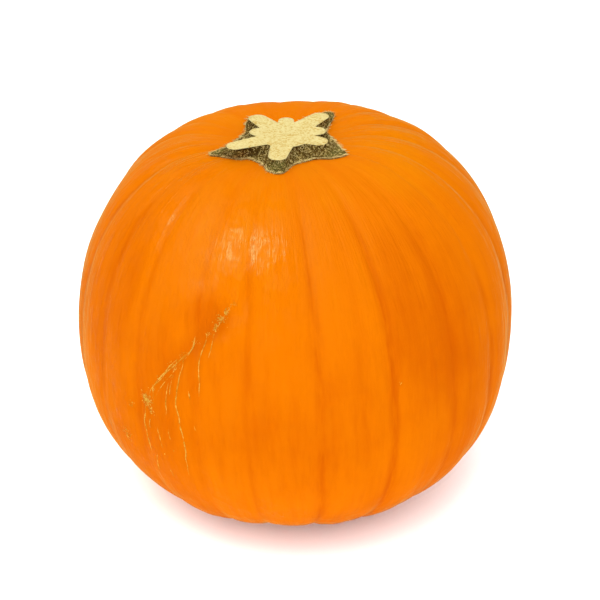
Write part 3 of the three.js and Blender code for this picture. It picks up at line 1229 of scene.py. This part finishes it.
def threads() -> list[Thread]:
    """List the scar lines, each by its width and its points.

    Returns:
        The threads.
    """
    table = [
        (0.9, (-110.5, 60), (-111.5, 65), (-111.5, 68.5)),
        (1.0, (-113, 62.5), (-114.3, 68), (-114.5, 73), (-114.4, 79)),
        (0.9, (-116.5, 64), (-117.5, 67.5), (-121, 73)),
        (1.2, (-119.5, 70), (-120.3, 78), (-121.2, 83), (-120.3, 89), (-119, 95), (-119.6, 104.5)),
        (1.0, (-121, 70.5), (-124.5, 74.5), (-128.5, 80), (-128.6, 84)),
        (0.8, (-122, 74.5), (-123.2, 80.5)),
        (0.9, (-123.8, 77.5), (-124.4, 86.5)),
        (1.0, (-131.5, 86), (-131.8, 92), (-131.2, 100.5)),
        (0.9, (-129.8, 89.5), (-130.1, 92.5)),
        (0.8, (-127.4, 91), (-126.5, 97.2)),
        (0.8, (-123.9, 90.5), (-123.4, 93.6)),
        (0.8, (-117.1, 78), (-116.9, 80.3)),
        (0.7, (-116.2, 87.5), (-116.1, 89.2)),
        (0.7, (-128.9, 100.5), (-130.9, 108)),
        (0.8, (-125.7, 104.6), (-125.1, 107)),
        (0.7, (-118.5, 68.5), (-123, 73.5), (-127.5, 78.5)),
        (0.8, (-106, 55.5), (-109, 58.6), (-110.2, 61.5)),
        (0.6, (-117, 67), (-121, 71.5), (-125.5, 76), (-129.5, 81.5), (-131, 85)),
        (0.6, (-120.5, 71.5), (-123, 75.5), (-126, 79.5), (-127.5, 83)),
        (0.6, (-121.5, 70.8), (-122.3, 73.5), (-122.8, 76.5)),
    ]
    return [Thread(way, width) for width, *way in table]


@dataclass
class ScarThreads:
    """The corky threads that hang from the crease."""

    form: FruitForm
    step: float = 1.1
    sides: int = 8
    smoothing: int = 4
    thinning: float = 0.78
    height: float = 0.42
    wander: Pair = (0.7, 0.24)
    tapers: tuple[Pair, Pair] = ((4.0, 0.25), (5.0, 0.12))
    worn: float = 0.3
    worn_odds: float = 0.16
    uneven: Pair = (0.5, 1.15)
    threads: list[Thread] = field(default_factory=threads)

    def stations(self, thread: Thread, rng: random.Random) -> list[tuple[Pair, float]]:
        """Places along a thread with the share of its width there.

        Args:
            thread: The thread.
            rng: Source of its small wanderings.

        Returns:
            Azimuth and polar angle of each place, and the width there in millimetres.
        """
        knots = np.array(thread.way, float)
        lengths = np.concatenate([[0.0], np.cumsum(np.hypot(*np.diff(knots, axis=0).T))])
        count = max(5, int(lengths[-1] * math.radians(self.form.half_width) / self.step))
        keep, stray = self.wander
        (start_rise, start), (end_rise, end) = self.tapers
        drift = 0.0
        track = np.empty((count + 1, 2))
        widths = []
        for i in range(count + 1):
            share = i / count
            drift = keep * drift + rng.uniform(-stray, stray)
            azimuth, polar = (np.interp(share * lengths[-1], lengths, column) for column in knots.T)
            track[i] = azimuth + drift, polar
            taper = min(1.0, start_rise * share + start, end_rise * (1.0 - share) + end)
            worn = self.worn if rng.random() < self.worn_odds else 1.0
            widths.append(self.thinning * thread.width * taper * worn * rng.uniform(*self.uneven))
        for _ in range(self.smoothing):
            track[1:-1] = (track[:-2] + 2.0 * track[1:-1] + track[2:]) / 4.0
        return [(tuple(at), width) for at, width in zip(track, widths)]

    def sweep(self, bm: Mesh, places: Sequence[tuple[Pair, float]]) -> None:
        """Draw one low tube over the skin by extruding a ring from place to place.

        Args:
            bm: The mesh that it is added to.
            places: The stations of the thread.
        """
        points = [self.form.place(*at) for at, _ in places]
        ring: list[Vertex] = []
        for i, (at, width) in enumerate(places):
            ahead = points[min(i + 1, len(points) - 1)] - points[max(i - 1, 0)]
            up = self.form.normal(*at)
            across = ahead.normalized().cross(up).normalized()
            if not ring:
                ring = bmesh.ops.create_circle(bm, cap_ends=True, segments=self.sides, radius=1.0)["verts"]
            else:
                edges = [edge for edge in {e for v in ring for e in v.link_edges}
                         if all(v in ring for v in edge.verts)]
                made = bmesh.ops.extrude_edge_only(bm, edges=edges)["geom"]
                fresh = [item for item in made if isinstance(item, Vertex)]
                ring = self.matched(ring, fresh)
            for k, vertex in enumerate(ring):
                angle = 2.0 * math.pi * k / self.sides
                side = across * (0.5 * width * math.cos(angle))
                side = side + up * (self.height * width * math.sin(angle))
                vertex.co = points[i] + side * MM
        bmesh.ops.contextual_create(bm, geom=ring)

    @staticmethod
    def matched(ring: list[Vertex], fresh: list[Vertex]) -> list[Vertex]:
        """Order the new ring's vertices like those that they were drawn from."""
        others = set(fresh)
        return [next(e.other_vert(v) for e in v.link_edges if e.other_vert(v) in others) for v in ring]

    def shape(self, bm: Mesh) -> None:
        """Draw all threads.

        Args:
            bm: The mesh that is filled.
        """
        rng = random.Random(5)
        for thread in self.threads:
            self.sweep(bm, self.stations(thread, rng))
        bmesh.ops.recalc_face_normals(bm, faces=bm.faces)

    def build(self, material: Material) -> Object:
        """Make the piece."""
        return new_piece("scar_threads", self.shape, material)


@dataclass(frozen=True)
class Patch:
    """A field of small corky crumbs on the skin."""

    azimuth: float
    polar: float
    spread_azimuth: float
    spread_polar: float
    count: int
    size: float


def patches() -> list[Patch]:
    """List the fields of crumbs.

    Returns:
        The fields, the clot and the scabs before the single specks.
    """
    table = [
        (-131, 84.5, 1.9, 2.2, 100, 0.85), (-129.2, 87, 1, 1.4, 24, 0.75), (-105.5, 55.2, 0.9, 0.5, 14, 0.5),
        (-107.8, 57, 0.9, 0.9, 34, 0.65), (-109.4, 59.2, 1.3, 1.3, 60, 0.62),
        (-110.8, 61.4, 0.9, 0.9, 34, 0.65), (-112.8, 63.2, 1, 0.7, 18, 0.5),
        (-116.2, 65.6, 1, 0.7, 12, 0.5), (-119.5, 69.5, 1.2, 0.9, 18, 0.5),
        (-122.5, 73, 1.4, 1.1, 26, 0.5), (-126, 77, 1.2, 1, 18, 0.5), (-128.8, 80.6, 1, 1, 16, 0.5),
        (-140, 99, 1.9, 2.2, 46, 0.7), (-136.4, 87.6, 1, 0.8, 16, 0.75), (-62.3, 77.9, 0.5, 0.25, 5, 0.55),
        (-126, 99.2, 0.1, 0.1, 1, 0.8), (-122.7, 97, 0.1, 0.1, 1, 0.8), (-17.7, 38.5, 0.05, 0.05, 1, 0.6),
        (-119.4, 29, 0.05, 0.05, 1, 0.6), (-97.8, 46.3, 0.05, 0.05, 1, 0.5),
    ]
    return [Patch(*row) for row in table]


@dataclass
class ScarCrumbs:
    """The clot at the crease's lower end, the scabs at its upper end and single specks."""

    form: FruitForm
    scatter: float = 0.5
    sizes: Pair = (0.45, 1.25)
    narrow: Pair = (0.5, 1.0)
    long: float = 1.1
    low: float = 0.35
    lift: float = 0.05
    radius: float = 0.6
    patches: list[Patch] = field(default_factory=patches)

    def shape(self, bm: Mesh) -> None:
        """Scatter flattened pebbles, each with its own turn and size.

        Args:
            bm: The mesh that is filled.
        """
        rng = random.Random(9)
        for patch in self.patches:
            for _ in range(patch.count):
                azimuth = patch.azimuth + rng.gauss(0.0, self.scatter) * patch.spread_azimuth
                polar = patch.polar + rng.gauss(0.0, self.scatter) * patch.spread_polar
                size = patch.size * rng.uniform(*self.sizes)
                up = self.form.normal(azimuth, polar)
                turned = up.to_track_quat("Z", "Y").to_matrix().to_4x4()
                spin = Matrix.Rotation(rng.uniform(0.0, math.pi), 4, "Z")
                narrow = rng.uniform(*self.narrow)
                flatten = Matrix.Diagonal((size * narrow, size * self.long, self.low * size, 1.0))
                at = Matrix.Translation(self.form.place(azimuth, polar, self.lift) / MM)
                whole = Matrix.Scale(MM, 4) @ at @ turned @ spin @ flatten
                bmesh.ops.create_icosphere(bm, subdivisions=1, radius=self.radius, matrix=whole)

    def build(self, material: Material) -> Object:
        """Make the piece."""
        return new_piece("scar_crumbs", self.shape, material)


@dataclass
class BlossomScar:
    """The dry round scar at the blossom end, in the hollow underneath."""

    form: FruitForm
    radius: float = 5.5
    height: float = 1.2
    unevenness: float = 0.14
    dent: Pair = (0.7, 1.8)

    def shape(self, bm: Mesh) -> None:
        """Build a low domed button with a dimpled middle.

        Args:
            bm: The mesh that is filled.
        """
        bmesh.ops.create_uvsphere(bm, u_segments=48, v_segments=24, radius=1.0)
        azimuth, polar = sphere_angles(bm)
        uneven = LatticeNoise(22, 12, 44).at(azimuth, polar)
        flat = np.sin(np.radians(polar)) * self.radius * (1.0 + self.unevenness * uneven)
        away = np.radians(azimuth)
        depth, width = self.dent
        dent = depth * bell(flat, width) * (polar > 90.0)
        z = np.cos(np.radians(polar)) * self.height + dent
        pole = self.form.pole(179.99)
        x = pole[0] + flat * np.cos(away)
        y = pole[1] + flat * np.sin(away)
        move_vertices(bm, np.stack([x, y, pole[2] + z], axis=-1) * MM)

    def build(self, material: Material) -> Object:
        """Make the piece."""
        return new_piece("blossom_scar", self.shape, material)


class Softness(Enum):
    """Whether a light lights the surfaces or only shows in their gloss."""

    LIGHT = (True, False)
    GLINT = (False, True)


@dataclass(frozen=True)
class Lamp:
    """A square soft light: bearing (-90 is the camera's side), elevation, distance, side and watts."""

    name: str
    azimuth: float
    elevation: float
    distance: float
    size: float
    power: float
    shows: Softness
    colour: Triple = (1.0, 1.0, 1.0)


@dataclass
class Studio:
    """A pale floor, white surroundings, soft lights and the camera."""

    target: Triple = (0.0, 0.0, 0.107)
    elevation: float = 29.5
    distance: float = 1.3
    pixels_wide: int = 600
    focal_pixels: float = 2144.0
    centre_x: float = 295.05
    centre_y: float = 329.0
    sensor: float = 36.0
    world_strength: float = 1.15
    floor_size: float = 12.0
    floor_tone: Tint = (0.96, 0.96, 0.96, 1.0)
    clip: Pair = (0.05, 50.0)
    top: Lamp = Lamp("top_soft", -110.0, 72.0, 2.2, 1.8, 32.0, Softness.LIGHT)
    glint: Lamp = Lamp("glint_soft", -143.0, 55.6, 1.3, 0.38, 700.0, Softness.GLINT, (0.12, 1.0, 0.5))
    wash: Lamp = Lamp("floor_wash", -96.0, 41.0, 2.4, 2.0, 72.0, Softness.LIGHT)

    def camera(self) -> None:
        """Set the camera at the photograph's height and distance, with the fruit in its place."""
        data = bpy.data.cameras.new("camera")
        data.sensor_width = self.sensor
        data.lens = self.focal_pixels / self.pixels_wide * self.sensor
        camera = add_object("camera", data)
        rise = math.radians(self.elevation)
        back = Vector((0.0, -math.cos(rise), math.sin(rise)))
        up = Vector((0.0, math.sin(rise), math.cos(rise)))
        target = Vector(self.target)
        camera.location = target + back * self.distance
        per_pixel = self.distance / self.focal_pixels
        half = self.pixels_wide / 2.0
        upward = up * (self.centre_y - half) * per_pixel
        sideways = Vector((1.0, 0.0, 0.0)) * (half - self.centre_x) * per_pixel
        aim = target + upward + sideways
        camera.rotation_euler = (aim - camera.location).to_track_quat("-Z", "Y").to_euler()
        data.clip_start, data.clip_end = self.clip
        bpy.context.scene.camera = camera

    def light(self, lamp: Lamp) -> Object:
        """Add a light that looks at the fruit.

        Args:
            lamp: What it is and where.

        Returns:
            The light.
        """
        data = bpy.data.lights.new(lamp.name, "AREA")
        data.size = lamp.size
        data.energy = lamp.power
        data.color = lamp.colour
        light = add_object(lamp.name, data)
        a, e = math.radians(lamp.azimuth), math.radians(lamp.elevation)
        way = Vector((math.cos(e) * math.cos(a), math.cos(e) * math.sin(a), math.sin(e)))
        light.location = Vector(self.target) + way * lamp.distance
        light.rotation_euler = (-way).to_track_quat("-Z", "Y").to_euler()
        light.visible_diffuse, light.visible_glossy = lamp.shows.value
        return light

    def floor(self) -> Object:
        """Lay the pale floor.

        Returns:
            The floor.
        """
        bm = bmesh.new()
        bmesh.ops.create_grid(bm, x_segments=1, y_segments=1, size=self.floor_size / 2.0)
        mesh = bpy.data.meshes.new("studio_floor")
        bm.to_mesh(mesh)
        bm.free()
        paint = Sheet("floor_paint")
        mesh.materials.append(paint.finish(Base_Color=self.floor_tone, Roughness=0.9, Specular_IOR_Level=0.1))
        floor = add_object("studio_floor", mesh)
        return floor

    def world(self) -> None:
        """Surround it all with even white."""
        world = bpy.data.worlds.new("studio_white")
        world.use_nodes = True
        shade = world.node_tree.nodes["Background"]
        shade.inputs["Color"].default_value = (1.0, 1.0, 1.0, 1.0)
        shade.inputs["Strength"].default_value = self.world_strength
        bpy.context.scene.world = world

    def build(self) -> None:
        """Set up the whole studio."""
        self.world()
        floor = self.floor()
        self.light(self.top)
        self.light(self.glint)
        wash = self.light(self.wash)
        only_floor = bpy.data.collections.new("only_floor")
        only_floor.objects.link(floor)
        wash.light_linking.receiver_collection = only_floor
        self.camera()
        bpy.context.scene.view_settings.view_transform = "Standard"


def main() -> None:
    """Build the pumpkin's pieces and the studio in order."""
    logging.basicConfig(level=logging.INFO)
    skin = SkinFinish().make()
    cork = ScarFinish().make()
    wood = StemFinish().make()
    form = FruitForm()
    stem = Stem(form)
    hairs = StemHairs(stem, "stem_hairs", 2300, (0.06, 0.96), (0.5, 1.4), 21, (0.09, 0.2))
    fringe = StemHairs(stem, "stem_fringe", 800, (0.95, 1.0), (0.8, 3.3), 22, (0.1, 0.22))
    pieces = [
        Fruit(form).build(skin),
        stem.build(wood),
        hairs.build(HairFinish("stem_hair").make()),
        fringe.build(HairFinish("stem_fringe", straw_until=0.56, brown_from=0.7).make()),
        ScarThreads(form).build(cork),
        ScarCrumbs(form).build(cork),
        BlossomScar(form).build(cork),
    ]
    for piece in pieces:
        LOG.info("%s: %d faces", piece.name, len(piece.data.polygons))
    Studio().build()


if __name__ == "__main__":
    main()
